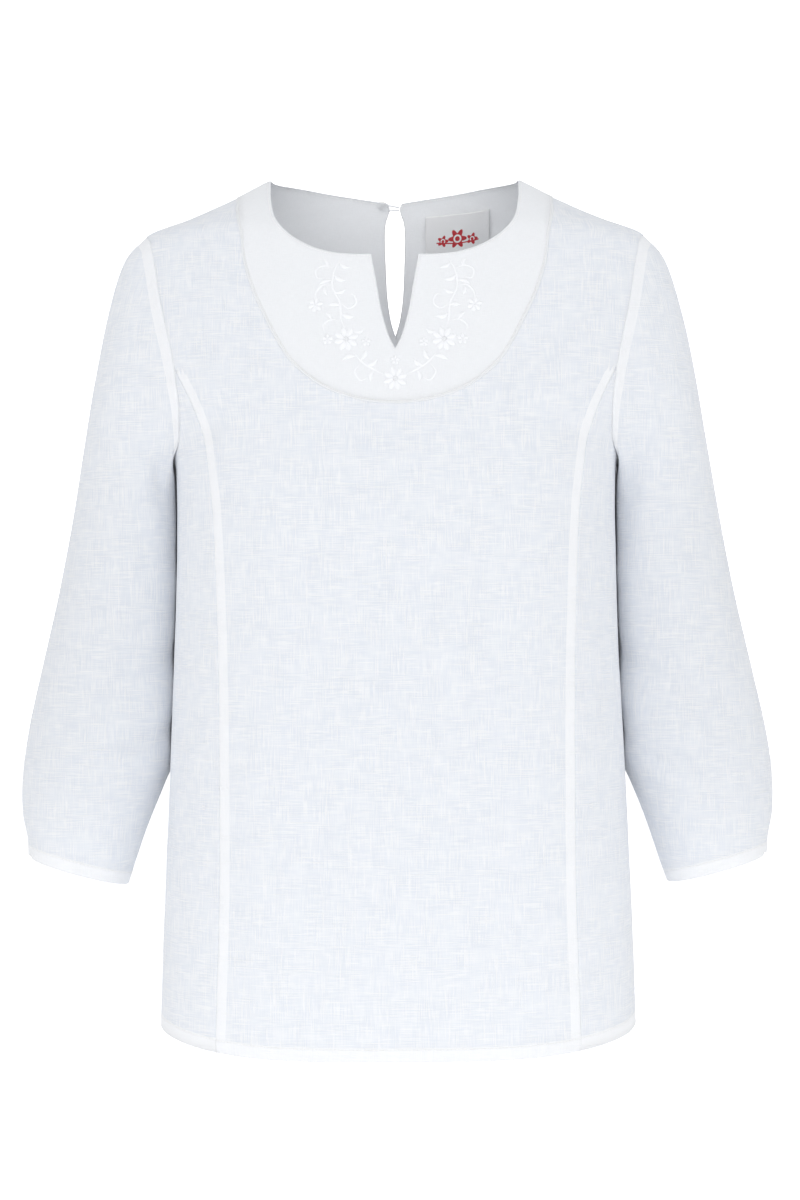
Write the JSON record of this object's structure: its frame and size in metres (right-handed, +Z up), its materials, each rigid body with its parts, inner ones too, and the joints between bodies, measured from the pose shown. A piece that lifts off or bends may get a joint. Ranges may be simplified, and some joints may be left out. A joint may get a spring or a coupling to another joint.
{
  "type": "trachten blouse",
  "caption": "White linen folk-dress blouse with an embroidered round yoke, front slit, three-quarter sleeves and a buttoned keyhole at the back neck, filled out as when worn.",
  "frame": {"origin": "midway between the two points where the shoulder seams meet the neck edge, which is where the blouse lies on the wearer's shoulders", "axes": "+Z up, +X towards the wearer's left, +Y towards the wearer's back"},
  "size_m": [0.5444, 0.2355, 0.6226],
  "materials": {
    "linen": "matte, slubby plain weave",
    "yoke_cotton": "matte, fine dense weave with white embroidery",
    "label_ribbon": "satin woven ribbon",
    "pearl_button": "polished, faintly pearly"
  },
  "bodies": {
    "root": {"front_centre": "linen", "side_front_left": "linen", "side_front_right": "linen", "back": "linen", "yoke_front": "yoke_cotton", "yoke_back": "yoke_cotton", "sleeve_left": "linen", "sleeve_right": "linen", "neck_label": "label_ribbon", "button_loop": "yoke_cotton", "neck_button": "pearl_button"}
  },
  "joints": []
}
